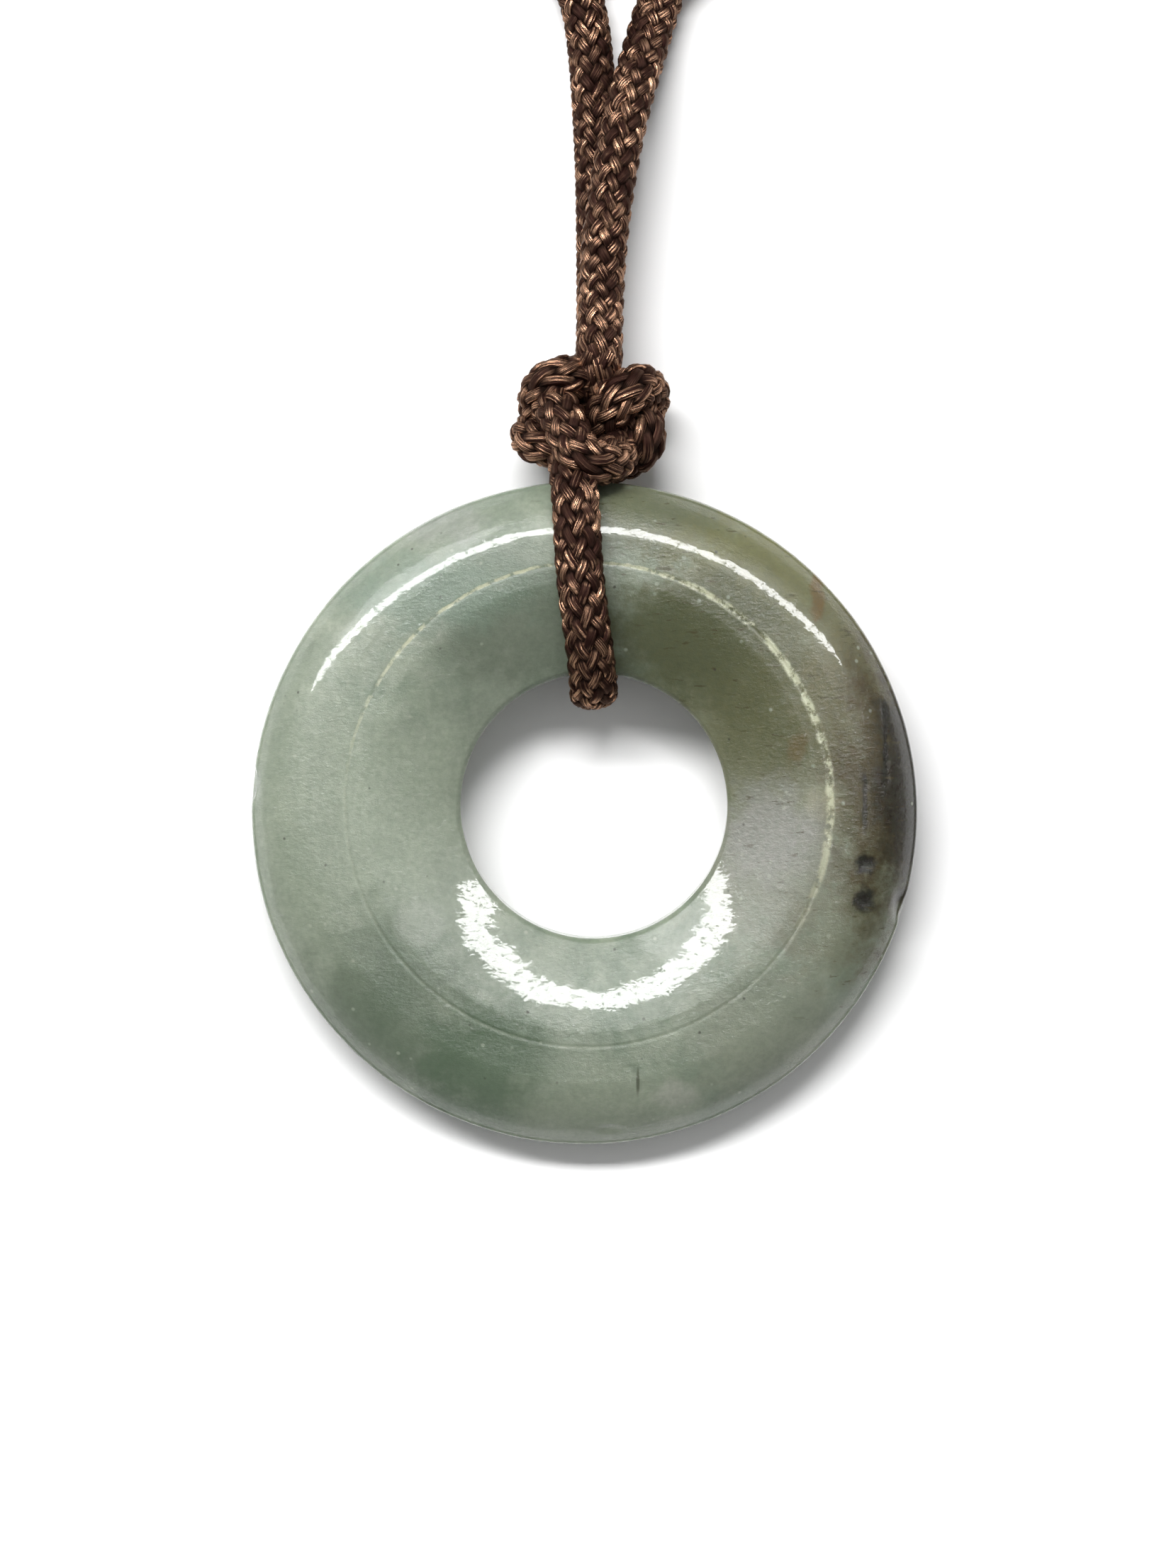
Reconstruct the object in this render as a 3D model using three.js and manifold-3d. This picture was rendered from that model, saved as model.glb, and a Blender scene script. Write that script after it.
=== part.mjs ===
// A ring pendant of polished jade, hung on a braided cord that is tied above it in a button knot.
// The ring lies on the ground with its top edge raised, because its cord passes under it there.
// Millimetres, +Z up. +Y runs from the ring to the knot.

import * as THREE from 'three';
import { mergeVertices } from 'three/addons/utils/BufferGeometryUtils.js';
import Module from 'manifold-3d';

// The ring
const DISC_DIAMETER = 42;
const HOLE_DIAMETER = 16.8;
const CROWN_THICKNESS = 5.6;
const SHOULDER_THICKNESS = 5.24;
const SHOULDER_BULGE_WIDTH = 1.64;
const SHOULDER_BULGE_THICKNESS = 4.82;
const RIM_THICKNESS = 1.2;
const HOLE_EDGE_THICKNESS = 1.4;
const HOLE_BEVEL_WIDTH = 1.5;
const HOLE_BEVEL_HEIGHT = 1.05;
const INNER_SLOPE_BULGE = 0.1;
const CROWN_INNER_DIAMETER = 26;
const CROWN_OUTER_DIAMETER = 34.2;
const CREASE_DIAMETER = 30;
const CREASE_WIDTH = 0.5;
const CREASE_DEPTH = 0.1;
const HOLE_OFFSET = new THREE.Vector2(0.6, 0.62);
const CREASE_OFFSET = new THREE.Vector2(0.15, 0.5);
const DISC_TILT = THREE.MathUtils.degToRad(5);
const DISC_SIDES = 72;
const RIM_CURVE_STEPS = 6;

// The cord, and the gap that parts it from what it touches
const CORD_DIAMETER = 3;
const BAIL_THICKNESS = 2.2;
const TOUCH_GAP = 0.3;
const CORD_SIDES = 8;
const STRAND_STEPS = 16;
const BAIL_STEPS = 26;
const KNOT_STEPS = 40;
const BALL_SIDES = 12;

// The coil, where the rest of the necklace is wound up
const COIL_CENTRE_X = 2.4;
const COIL_NEAR_EDGE_Y = 54.5;
const COIL_MEAN_DIAMETER = 33;
const COIL_TURNS_ACROSS = 3;
const COIL_TURNS_HIGH = 2;
const COIL_CORNER_RADIUS = 1.2;
const COIL_CORNER_STEPS = 2;
const COIL_SIDES = 56;

// Routes of the cord. Each point is x, y and the height of the cord's underside.
const LEFT_STRAND_ROUTE = [
  [0.88, 29.65, 0.8], [0.91, 31.4, 0.3], [0.92, 34, 0.02], [0.9, 37, 0.02], [0.85, 41, 0.02],
  [0.62, 45.5, 0.02], [0.3, 50, 0.02], [-0.4, 53.2, 0.02], [-2.6, 56.1, 0.02], [-5.8, 57.9, 0.02],
  [-9.6, 60.2, 0.02],
];
const RIGHT_STRAND_ROUTE = [
  [0.97, 29.65, 4.1], [1, 31.5, 3.75], [1.1, 34, 3.4], [1.3, 36.5, 3.35], [1.75, 40, 3.3],
  [2.6, 44.3, 2.8], [3.3, 46.8, 1.9], [4.1, 49.6, 0.6], [4.8, 52.2, 0.1], [5.9, 54.4, 0.5],
  [7.8, 56.4, 1.4], [10.6, 57.8, 2.4], [14.3, 60.2, 3],
];
const KNOT_FROM_LEFT_ROUTE = [
  [0.87, 29.3, 0.9], [0.84, 28.3, 1.25], [0.5, 27.7, 2.4], [-0.4, 27.5, 3.8], [-1.6, 27.4, 4.6],
  [-2.6, 26.9, 4.2], [-2.9, 26, 3], [-2.6, 25.5, 1.5], [-1.6, 26, 0.4], [0, 26.9, 0.1], [1.6, 27.1, 0.2],
  [2.8, 26.4, 1], [3.3, 25.4, 2.3], [3.72, 24.4, 3.3], [3.78, 23.6, 3.4], [3.42, 23, 3], [2.6, 22.6, 2],
  [1.5, 22.5, 0.9], [0.8, 22.2, 0.2], [0.55, 21.45, 0.03],
];
const KNOT_FROM_RIGHT_ROUTE = [
  [0.97, 29.3, 4.17], [0.94, 28.2, 4.2], [0.8, 27.3, 3.5], [0.2, 26.6, 2.4], [-0.9, 26.4, 1.6],
  [-1.9, 26, 1.9], [-2.15, 25.8, 3], [-1.85, 25.6, 4.5], [-1.4, 25, 5.7], [-1, 23.8, 6.4],
  [-0.55, 22.6, 6.9], [0.5, 21.75, 7.2], [1.7, 22.1, 6], [2.15, 22.8, 4], [1.7, 23.2, 2.3], [1, 24, 2.4],
  [1.2, 25, 3.9], [2.09, 26, 5], [3, 26.8, 4.7], [3.7, 27.1, 3.2], [4.1, 26.6, 1.7], [3.9, 25.8, 0.7],
  [2.9, 25.1, 0.1], [1.2, 24.6, 0.03], [-1.1, 24.4, 0.1], [-2.5, 24.5, 0.9], [-3.35, 24.2, 2.2],
  [-3.25, 23.6, 3.3], [-2.5, 23.3, 3.9], [-1.8, 23.2, 3.9], [-1.2, 23.2, 3.6], [-0.9, 23, 3.4],
];
const BAIL_ROUTE = [
  [-0.84, 22.4, 4.8], [-0.78, 21.8, 6.2], [-0.68, 20.9, 7.4], [-0.55, 19.6, 8.2],
  [-0.45, 17.8, 8.7], [-0.35, 15.5, 8.75], [-0.1, 13.2, 8.55], [0.2, 11.2, 7.95], [0.45, 9.4, 7],
  [0.55, 7.95, 5.7], [0.58, 7.4, 4.1], [0.6, 7.85, 2.2], [0.6, 9.2, 0.7], [0.6, 11.2, 0.05],
  [0.58, 14, 0.05], [0.55, 18, 0.05], [0.55, 21.1, 0.05],
];
const KNOT_MIDDLE = new THREE.Vector3(0.4, 24.8, 4);
const KNOT_MIDDLE_SIZE = new THREE.Vector3(6.4, 4.6, 4.8);

// Related sizes
const discRadius = DISC_DIAMETER / 2;
const holeRadius = HOLE_DIAMETER / 2;
const creaseRadius = CREASE_DIAMETER / 2;
const coilMeanRadius = COIL_MEAN_DIAMETER / 2;
const coilHalfWidth = (COIL_TURNS_ACROSS * CORD_DIAMETER) / 2;
const coilHeight = COIL_TURNS_HIGH * CORD_DIAMETER;
const coilCentreY = COIL_NEAR_EDGE_Y + coilMeanRadius + coilHalfWidth;

// Corners nearer than this are one corner
const MERGE_DISTANCE = 1e-4;

const jade = { color: 0x8a9a84, roughness: 0.22, metalness: 0 };
const cord = { color: 0x3a201a, roughness: 0.55, metalness: 0 };

const manifold = await Module();
manifold.setup();

// Six times the volume that a mesh encloses, which is negative on one that is inside out
function signedVolume(geometry) {
  const { position } = geometry.attributes;
  const corners = [new THREE.Vector3(), new THREE.Vector3(), new THREE.Vector3()];
  let sum = 0;
  for (let i = 0; i < geometry.index.count; i += 3) {
    corners.forEach((corner, k) => corner.fromBufferAttribute(position, geometry.index.getX(i + k)));
    sum += corners[0].dot(corners[1].clone().cross(corners[2]));
  }
  return sum;
}

// One closed skin of shared vertices, with its faces pointing out
function closedSkin(geometry) {
  const bare = new THREE.BufferGeometry();
  bare.setAttribute('position', geometry.attributes.position.clone());
  if (geometry.index) bare.setIndex(geometry.index.clone());
  const skin = mergeVertices(bare, MERGE_DISTANCE);
  const kept = [];
  for (let i = 0; i < skin.index.count; i += 3) {
    const [a, b, c] = [0, 1, 2].map((k) => skin.index.getX(i + k));
    if (a !== b && b !== c && c !== a) kept.push(a, b, c);
  }
  skin.setIndex(kept);
  if (signedVolume(skin) < 0) skin.setIndex(kept.reverse());
  return skin;
}

function toSolid(geometry) {
  const skin = closedSkin(geometry);
  const vertProperties = new Float32Array(skin.attributes.position.array);
  const triVerts = new Uint32Array(skin.index.array);
  return new manifold.Manifold(new manifold.Mesh({ numProp: 3, vertProperties, triVerts }));
}

function toGeometry(solid) {
  const { vertProperties, triVerts } = solid.getMesh();
  const geometry = new THREE.BufferGeometry();
  geometry.setAttribute('position', new THREE.BufferAttribute(new Float32Array(vertProperties), 3));
  geometry.setIndex(new THREE.BufferAttribute(new Uint32Array(triVerts), 1));
  return geometry;
}

function named(name, geometry, finish) {
  geometry.computeVertexNormals();
  const mesh = new THREE.Mesh(geometry, new THREE.MeshStandardMaterial(finish));
  mesh.name = name;
  return mesh;
}

// One face of the ring as radius and height above its middle plane, from the rim in to the hole's edge.
// A crease is cut round the crown of the face that shows.
function facePoints(creased) {
  const crownInner = CROWN_INNER_DIAMETER / 2;
  const crownOuter = CROWN_OUTER_DIAMETER / 2;
  const crown = CROWN_THICKNESS / 2;
  const shoulder = SHOULDER_THICKNESS / 2;
  const rim = RIM_THICKNESS / 2;
  const lip = HOLE_EDGE_THICKNESS / 2;
  const rimCurve = new THREE.QuadraticBezierCurve(
    new THREE.Vector2(discRadius, rim),
    new THREE.Vector2(discRadius - SHOULDER_BULGE_WIDTH, SHOULDER_BULGE_THICKNESS / 2),
    new THREE.Vector2(crownOuter, shoulder),
  );
  const points = rimCurve.getPoints(RIM_CURVE_STEPS);
  if (creased) {
    points.push(new THREE.Vector2(creaseRadius + CREASE_WIDTH / 2, crown));
    points.push(new THREE.Vector2(creaseRadius, crown - CREASE_DEPTH));
    points.push(new THREE.Vector2(creaseRadius - CREASE_WIDTH / 2, crown));
  } else {
    points.push(new THREE.Vector2(creaseRadius, crown));
  }
  const bevelRadius = holeRadius + HOLE_BEVEL_WIDTH;
  const bevelHeight = lip + HOLE_BEVEL_HEIGHT;
  const slopeRadius = (crownInner + bevelRadius) / 2;
  const slopeHeight = (shoulder + bevelHeight) / 2 + INNER_SLOPE_BULGE;
  points.push(new THREE.Vector2(crownInner, (crown + shoulder) / 2));
  points.push(new THREE.Vector2(slopeRadius, slopeHeight));
  points.push(new THREE.Vector2(bevelRadius, bevelHeight));
  points.push(new THREE.Vector2(holeRadius, lip));
  return points;
}

// How far the part of the ring at this radius stands off centre: the hole and the crease are not true
function offsetAt(radius) {
  const rimward = THREE.MathUtils.clamp((radius - creaseRadius) / (discRadius - creaseRadius), 0, 1);
  const holeward = THREE.MathUtils.clamp((creaseRadius - radius) / (creaseRadius - holeRadius), 0, 1);
  return CREASE_OFFSET.clone().lerp(HOLE_OFFSET, holeward).multiplyScalar(1 - rimward);
}

function discGeometry() {
  const top = facePoints(true);
  const bottom = facePoints(false).map((p) => new THREE.Vector2(p.x, -p.y)).reverse();
  const geometry = new THREE.LatheGeometry([...top, ...bottom, top[0].clone()], DISC_SIDES);
  geometry.rotateX(Math.PI / 2);
  const { position } = geometry.attributes;
  for (let i = 0; i < position.count; i += 1) {
    const off = offsetAt(Math.hypot(position.getX(i), position.getY(i)));
    position.setX(i, position.getX(i) + off.x);
    position.setY(i, position.getY(i) + off.y);
  }
  geometry.rotateX(DISC_TILT);
  geometry.computeBoundingBox();
  geometry.translate(0, 0, -geometry.boundingBox.min.z);
  return closedSkin(geometry);
}

// A smooth curve that starts and ends at a route's own ends and is drawn towards each point between them.
// It is a uniform cubic B-spline, so its bends have no kinks.
class CordCurve extends THREE.Curve {
  constructor(route, halfThickness) {
    super();
    const points = route.map(([x, y, lift]) => new THREE.Vector3(x, y, lift + halfThickness));
    const first = points[0].clone().multiplyScalar(2).sub(points[1]);
    const last = points.at(-1).clone().multiplyScalar(2).sub(points.at(-2));
    this.controls = [first, ...points, last];
  }

  getPoint(t, target = new THREE.Vector3()) {
    const spans = this.controls.length - 3;
    const span = Math.min(Math.floor(t * spans), spans - 1);
    const u = t * spans - span;
    const weights = [
      (1 - u) ** 3,
      3 * u ** 3 - 6 * u ** 2 + 4,
      -3 * u ** 3 + 3 * u ** 2 + 3 * u + 1,
      u ** 3,
    ];
    target.set(0, 0, 0);
    weights.forEach((weight, k) => target.addScaledVector(this.controls[span + k], weight / 6));
    return target;
  }
}

// A tube of the given width and thickness along a route
function tubeAlong(route, width, thickness, steps) {
  const corners = Array.from({ length: CORD_SIDES }, (_, i) => {
    const angle = (2 * Math.PI * i) / CORD_SIDES;
    return new THREE.Vector2((Math.cos(angle) * width) / 2, (Math.sin(angle) * thickness) / 2);
  });
  const extrudePath = new CordCurve(route, thickness / 2);
  return new THREE.ExtrudeGeometry(new THREE.Shape(corners), { steps, extrudePath, bevelEnabled: false });
}

// The knot: two passes of the cord, pressed together about its middle.
// A swollen one is the room that it needs.
function knotSolid(swell) {
  const width = CORD_DIAMETER + 2 * swell;
  const lowered = (route) => route.map(([x, y, lift]) => [x, y, lift - swell]);
  const left = toSolid(tubeAlong(lowered(KNOT_FROM_LEFT_ROUTE), width, width, KNOT_STEPS));
  const right = toSolid(tubeAlong(lowered(KNOT_FROM_RIGHT_ROUTE), width, width, KNOT_STEPS));
  const ball = new THREE.SphereGeometry(0.5, BALL_SIDES, BALL_SIDES);
  ball.scale(KNOT_MIDDLE_SIZE.x, KNOT_MIDDLE_SIZE.y, KNOT_MIDDLE_SIZE.z);
  ball.translate(KNOT_MIDDLE.x, KNOT_MIDDLE.y, KNOT_MIDDLE.z);
  return left.add(right).add(toSolid(ball));
}

// The wound coil's outer shape, as a ring with rounded corners. A swollen one is the room that it needs.
function coilGeometry(swell) {
  const inner = coilMeanRadius - coilHalfWidth - swell;
  const outer = coilMeanRadius + coilHalfWidth + swell;
  const low = -swell;
  const high = coilHeight + swell;
  const round = COIL_CORNER_RADIUS;
  const outline = new THREE.Path();
  outline.moveTo(outer - round, low);
  outline.quadraticCurveTo(outer, low, outer, low + round);
  outline.lineTo(outer, high - round);
  outline.quadraticCurveTo(outer, high, outer - round, high);
  outline.lineTo(inner + round, high);
  outline.quadraticCurveTo(inner, high, inner, high - round);
  outline.lineTo(inner, low + round);
  outline.quadraticCurveTo(inner, low, inner + round, low);
  outline.lineTo(outer - round, low);
  const geometry = new THREE.LatheGeometry(outline.getPoints(COIL_CORNER_STEPS), COIL_SIDES);
  geometry.rotateX(Math.PI / 2);
  geometry.translate(COIL_CENTRE_X, coilCentreY, 0);
  return closedSkin(geometry);
}

const knot = knotSolid(0);
const knotRoom = knotSolid(TOUCH_GAP);
const coilRoom = toSolid(coilGeometry(TOUCH_GAP));

function strandGeometry(route) {
  const tube = toSolid(tubeAlong(route, CORD_DIAMETER, CORD_DIAMETER, STRAND_STEPS));
  return toGeometry(tube.subtract(coilRoom).subtract(knotRoom));
}

function bailGeometry() {
  const tube = toSolid(tubeAlong(BAIL_ROUTE, CORD_DIAMETER, BAIL_THICKNESS, BAIL_STEPS));
  return toGeometry(tube.subtract(knotRoom));
}

const group = new THREE.Group();
group.add(named('jade_disc', discGeometry(), jade));
group.add(named('cord_bail', bailGeometry(), cord));
group.add(named('cord_knot', toGeometry(knot), cord));
group.add(named('cord_strand_left', strandGeometry(LEFT_STRAND_ROUTE), cord));
group.add(named('cord_strand_right', strandGeometry(RIGHT_STRAND_ROUTE), cord));
group.add(named('cord_coil', coilGeometry(0), cord));

export default group;
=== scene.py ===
"""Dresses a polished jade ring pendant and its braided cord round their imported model.

Everything is in metres unless it says millimetres, +Z up. +Y runs from the ring to the knot, and the ring
lies on the ground with its top edge raised by the cord that passes under it.
"""

import logging
import math
from dataclasses import dataclass, field
from enum import Enum
from functools import reduce

import bpy
import numpy as np
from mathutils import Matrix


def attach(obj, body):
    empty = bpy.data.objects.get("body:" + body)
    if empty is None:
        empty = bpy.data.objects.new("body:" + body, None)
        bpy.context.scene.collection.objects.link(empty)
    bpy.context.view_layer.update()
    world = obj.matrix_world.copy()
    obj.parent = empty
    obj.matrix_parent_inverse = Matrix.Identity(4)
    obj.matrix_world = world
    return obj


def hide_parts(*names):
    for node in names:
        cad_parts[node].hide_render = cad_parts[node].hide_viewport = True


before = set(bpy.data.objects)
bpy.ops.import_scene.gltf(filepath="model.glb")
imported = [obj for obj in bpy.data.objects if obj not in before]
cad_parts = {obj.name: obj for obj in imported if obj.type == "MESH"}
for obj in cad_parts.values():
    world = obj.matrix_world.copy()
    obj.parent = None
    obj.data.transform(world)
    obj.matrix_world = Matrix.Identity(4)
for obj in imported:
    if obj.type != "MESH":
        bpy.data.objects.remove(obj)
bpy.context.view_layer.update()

log = logging.getLogger("pendant")

MM = 0.001
BODY = "root"

# Routes of the cord, in millimetres. Each point is x, y and the height of the cord's underside.
LEFT_STRAND_ROUTE = (
    (0.88, 29.65, 0.8), (0.91, 31.4, 0.3), (0.92, 34, 0.02), (0.9, 37, 0.02), (0.85, 41, 0.02),
    (0.62, 45.5, 0.02), (0.3, 50, 0.02), (-0.4, 53.2, 0.02), (-2.6, 56.1, 0.02),
)
RIGHT_STRAND_ROUTE = (
    (0.97, 29.65, 4.1), (1, 31.5, 3.75), (1.1, 34, 3.4), (1.3, 36.5, 3.35), (1.75, 40, 3.3),
    (2.6, 44.3, 2.8), (3.3, 46.8, 1.9), (4.1, 49.6, 0.6), (4.8, 52.2, 0.1), (5.9, 54.4, 0.5),
    (7.8, 56.4, 1.4),
)
KNOT_FROM_LEFT_ROUTE = (
    (0.87, 29.3, 0.9), (0.84, 28.3, 1.25), (0.5, 27.7, 2.4), (-0.4, 27.5, 3.8), (-1.6, 27.4, 4.6),
    (-2.6, 26.9, 4.2), (-2.9, 26, 3), (-2.6, 25.5, 1.5), (-1.6, 26, 0.4), (0, 26.9, 0.1), (1.6, 27.1, 0.2),
    (2.8, 26.4, 1), (3.3, 25.4, 2.3), (3.72, 24.4, 3.3), (3.78, 23.6, 3.4), (3.42, 23, 3), (2.6, 22.6, 2),
    (1.5, 22.5, 0.9), (0.8, 22.2, 0.2), (0.55, 21.45, 0.03),
)
KNOT_FROM_RIGHT_ROUTE = (
    (0.97, 29.3, 4.17), (0.94, 28.2, 4.2), (0.8, 27.3, 3.5), (0.2, 26.6, 2.4), (-0.9, 26.4, 1.6),
    (-1.9, 26, 1.9), (-2.15, 25.8, 3), (-1.85, 25.6, 4.5), (-1.4, 25, 5.7), (-1, 23.8, 6.4),
    (-0.55, 22.6, 6.9), (0.5, 21.75, 7.2), (1.7, 22.1, 6), (2.15, 22.8, 4), (1.7, 23.2, 2.3), (1, 24, 2.4),
    (1.2, 25, 3.9), (2.09, 26, 5), (3, 26.8, 4.7), (3.7, 27.1, 3.2), (4.1, 26.6, 1.7), (3.9, 25.8, 0.7),
    (2.9, 25.1, 0.1), (1.2, 24.6, 0.03), (-1.1, 24.4, 0.1), (-2.5, 24.5, 0.9), (-3.35, 24.2, 2.2),
    (-3.25, 23.6, 3.3), (-2.5, 23.3, 3.9), (-1.8, 23.2, 3.9), (-1.2, 23.2, 3.6), (-0.9, 23, 3.4),
)
BAIL_ROUTE = (
    (-0.84, 22.4, 4.8), (-0.78, 21.8, 6.2), (-0.68, 20.9, 7.4), (-0.55, 19.6, 8.2), (-0.45, 17.8, 8.7),
    (-0.35, 15.5, 8.75), (-0.1, 13.2, 8.55), (0.2, 11.2, 7.95), (0.45, 9.4, 7), (0.55, 7.95, 5.7),
    (0.58, 7.4, 4.1), (0.6, 7.85, 2.2), (0.6, 9.2, 0.7), (0.6, 11.2, 0.05), (0.58, 14, 0.05),
    (0.55, 18, 0.05), (0.55, 21.1, 0.05),
)

Colour = tuple[float, float, float]
Point = tuple[float, float, float]
Pair = tuple[float, float]
Amount = np.ndarray | float
Socket = bpy.types.NodeSocket
Node = bpy.types.Node
Mesh = bpy.types.Mesh
Piece = bpy.types.Object


class Way(Enum):
    """The two ways in which the yarns of a braid wind round it."""

    FORWARD = 1
    BACK = -1


class Nodes:
    """Adds nodes to one tree and joins them, so that each formula reads as a few calls."""

    def __init__(self, tree: bpy.types.NodeTree) -> None:
        """Keeps the tree that the nodes go into."""
        self.tree = tree

    def feed(self, socket: Socket, value: object) -> None:
        """Links a socket to another one, or sets its plain value."""
        if isinstance(value, Socket):
            self.tree.links.new(value, socket)
        else:
            socket.default_value = value

    def fill(self, node: Node, inputs: dict) -> Node:
        """Feeds a node's sockets, which are given by name or number."""
        for key, value in inputs.items():
            self.feed(node.inputs[key], value)
        return node

    def add(self, kind: str, inputs: dict | None = None, **settings: object) -> Node:
        """Adds one node.

        Args:
            kind: The node's type.
            inputs: What goes into its sockets, by name or number.
            **settings: The node's own settings.

        Returns:
            The new node.
        """
        node = self.tree.nodes.new(kind)
        for name, value in settings.items():
            setattr(node, name, value)
        return self.fill(node, inputs or {})

    def out(self, kind: str, inputs: dict | None = None, **settings: object) -> Socket:
        """Adds one node and gives its first output."""
        return self.add(kind, inputs, **settings).outputs[0]

    def maths(self, operation: str, *values: object) -> Socket:
        """Works out one sum on numbers."""
        return self.out("ShaderNodeMath", dict(enumerate(values)), operation=operation)

    def times(self, *values: object) -> Socket:
        """Multiplies numbers, one after the other."""
        return reduce(lambda product, value: self.maths("MULTIPLY", product, value), values)

    def minus(self, value: object, less: object) -> Socket:
        """Takes one number from another."""
        return self.maths("SUBTRACT", value, less)

    def vectors(self, operation: str, *values: object) -> Socket:
        """Works out one sum on vectors."""
        node = self.add("ShaderNodeVectorMath", dict(enumerate(values)), operation=operation)
        return node.outputs["Value" if operation in ("LENGTH", "DOT_PRODUCT") else "Vector"]

    def scaled(self, vector: object, factor: object) -> Socket:
        """Multiplies a vector by a number."""
        return self.out("ShaderNodeVectorMath", {0: vector, "Scale": factor}, operation="SCALE")

    def combined(self, x: object, y: object, z: object) -> Socket:
        """Makes a vector of three numbers."""
        return self.out("ShaderNodeCombineXYZ", {0: x, 1: y, 2: z})

    def noise(self, vector: object, scale: object, detail: float = 3, roughness: float = 0.5,
              distortion: float = 0) -> Socket:
        """Gives noise from 0 to 1, of which about as many features as scale fit in one unit."""
        inputs = {"Vector": vector, "Scale": scale, "Detail": detail, "Roughness": roughness,
                  "Distortion": distortion}
        return self.out("ShaderNodeTexNoise", inputs)

    def ranged(self, value: object, low: object, high: object, to_low: float = 0, to_high: float = 1,
               kind: str = "SMOOTHSTEP") -> Socket:
        """Maps a value from low and high to to_low and to_high, and keeps it between them."""
        inputs = {0: value, 1: low, 2: high, 3: to_low, 4: to_high}
        return self.out("ShaderNodeMapRange", inputs, interpolation_type=kind)

    def mixed(self, share: object, first: object, second: object) -> Socket:
        """Mixes two colours by a share, from the first to the second."""
        inputs = {0: share, 6: opaque(first), 7: opaque(second)}
        return self.add("ShaderNodeMix", inputs, data_type="RGBA").outputs[2]

    def bumped(self, height: object, strength: float, distance: float, normal: object = None) -> Socket:
        """Turns a height into a bump, on top of a coarser bump's normal where one is given."""
        inputs = {"Height": height, "Strength": strength, "Distance": distance}
        if normal is not None:
            inputs["Normal"] = normal
        return self.out("ShaderNodeBump", inputs)

    def named(self, name: str, output: str = "Fac") -> Socket:
        """Reads a value that a mesh carries, in a material."""
        return self.add("ShaderNodeAttribute", attribute_name=name).outputs[output]

    def carried(self, name: str, kind: str = "FLOAT") -> Socket:
        """Reads a value that a mesh carries, in a geometry tree."""
        return self.out("GeometryNodeInputNamedAttribute", {"Name": name}, data_type=kind)

    def stored(self, geometry: object, name: str, value: object, kind: str = "FLOAT") -> Socket:
        """Stores a value on every point of a geometry."""
        inputs = {"Geometry": geometry, "Name": name, "Value": value}
        return self.out("GeometryNodeStoreNamedAttribute", inputs, data_type=kind, domain="POINT")

    def circle(self, sides: object, radius: object) -> Socket:
        """Makes a round curve."""
        return self.out("GeometryNodeCurvePrimitiveCircle", {"Resolution": sides, "Radius": radius})

    def swept(self, curve: object, section: object) -> Socket:
        """Sweeps a section along a curve and closes both ends."""
        inputs = {"Curve": curve, "Profile Curve": section, "Fill Caps": True}
        return self.out("GeometryNodeCurveToMesh", inputs)


def opaque(colour: object) -> object:
    """Adds the fourth value to a plain colour."""
    return (*colour, 1.0) if isinstance(colour, tuple) and len(colour) == 3 else colour


def new_geometry_tree(name: str, inputs: dict[str, str]) -> tuple[Nodes, Node, Node]:
    """Starts a Geometry Nodes tree with named inputs.

    Args:
        name: The tree's name.
        inputs: Each input's name and kind.

    Returns:
        The node adder, the node of the inputs and the node of the result.
    """
    tree = bpy.data.node_groups.new(name, "GeometryNodeTree")
    tree.interface.new_socket("Geometry", in_out="OUTPUT", socket_type="NodeSocketGeometry")
    for label, kind in {"Geometry": "Geometry", **inputs}.items():
        tree.interface.new_socket(label, in_out="INPUT", socket_type=f"NodeSocket{kind}")
    nodes = Nodes(tree)
    return nodes, nodes.add("NodeGroupInput"), nodes.add("NodeGroupOutput")


def end_tree(nodes: Nodes, geometry: object, material: object, result: Node) -> None:
    """Ends a Geometry Nodes tree with smooth, real and dressed faces."""
    smooth = nodes.out("GeometryNodeSetShadeSmooth", {"Geometry": geometry})
    real = nodes.out("GeometryNodeRealizeInstances", {"Geometry": smooth})
    dressed = nodes.out("GeometryNodeSetMaterial", {"Geometry": real, "Material": material})
    nodes.feed(result.inputs[0], dressed)


def added(name: str, data: object) -> Piece:
    """Puts a new object in the scene."""
    item = bpy.data.objects.new(name, data)
    bpy.context.scene.collection.objects.link(item)
    return item


def grown(host: Mesh, tree: bpy.types.NodeTree, values: dict[str, object]) -> Mesh:
    """Runs a Geometry Nodes tree on a mesh.

    Args:
        host: The mesh that the tree starts from. It is removed.
        tree: The tree.
        values: The tree's inputs by name.

    Returns:
        The result as a plain mesh.
    """
    holder = added("holder", host)
    modifier = holder.modifiers.new("grow", "NODES")
    modifier.node_group = tree
    for item in tree.interface.items_tree:
        if item.in_out == "INPUT" and item.name in values:
            modifier[item.identifier] = values[item.name]
    ready = holder.evaluated_get(bpy.context.evaluated_depsgraph_get())
    mesh = bpy.data.meshes.new_from_object(ready)
    holder.modifiers.clear()
    bpy.data.objects.remove(holder)
    bpy.data.meshes.remove(host)
    return mesh


def object_from(name: str, meshes: list[Mesh]) -> Piece:
    """Joins meshes into one named object at the origin.

    Args:
        name: The object's name.
        meshes: The meshes, which carry the same values.

    Returns:
        The object.
    """
    parts = [added(name, mesh) for mesh in meshes]
    if len(parts) > 1:
        with bpy.context.temp_override(active_object=parts[0], selected_editable_objects=parts):
            bpy.ops.object.join()
    parts[0].name = name
    parts[0].data.name = name
    return parts[0]


def new_material(name: str) -> tuple[bpy.types.Material, Nodes, Node]:
    """Starts a material, and gives it with its node adder and its main shader."""
    material = bpy.data.materials.new(name)
    material.use_nodes = True
    return material, Nodes(material.node_tree), material.node_tree.nodes["Principled BSDF"]


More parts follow.
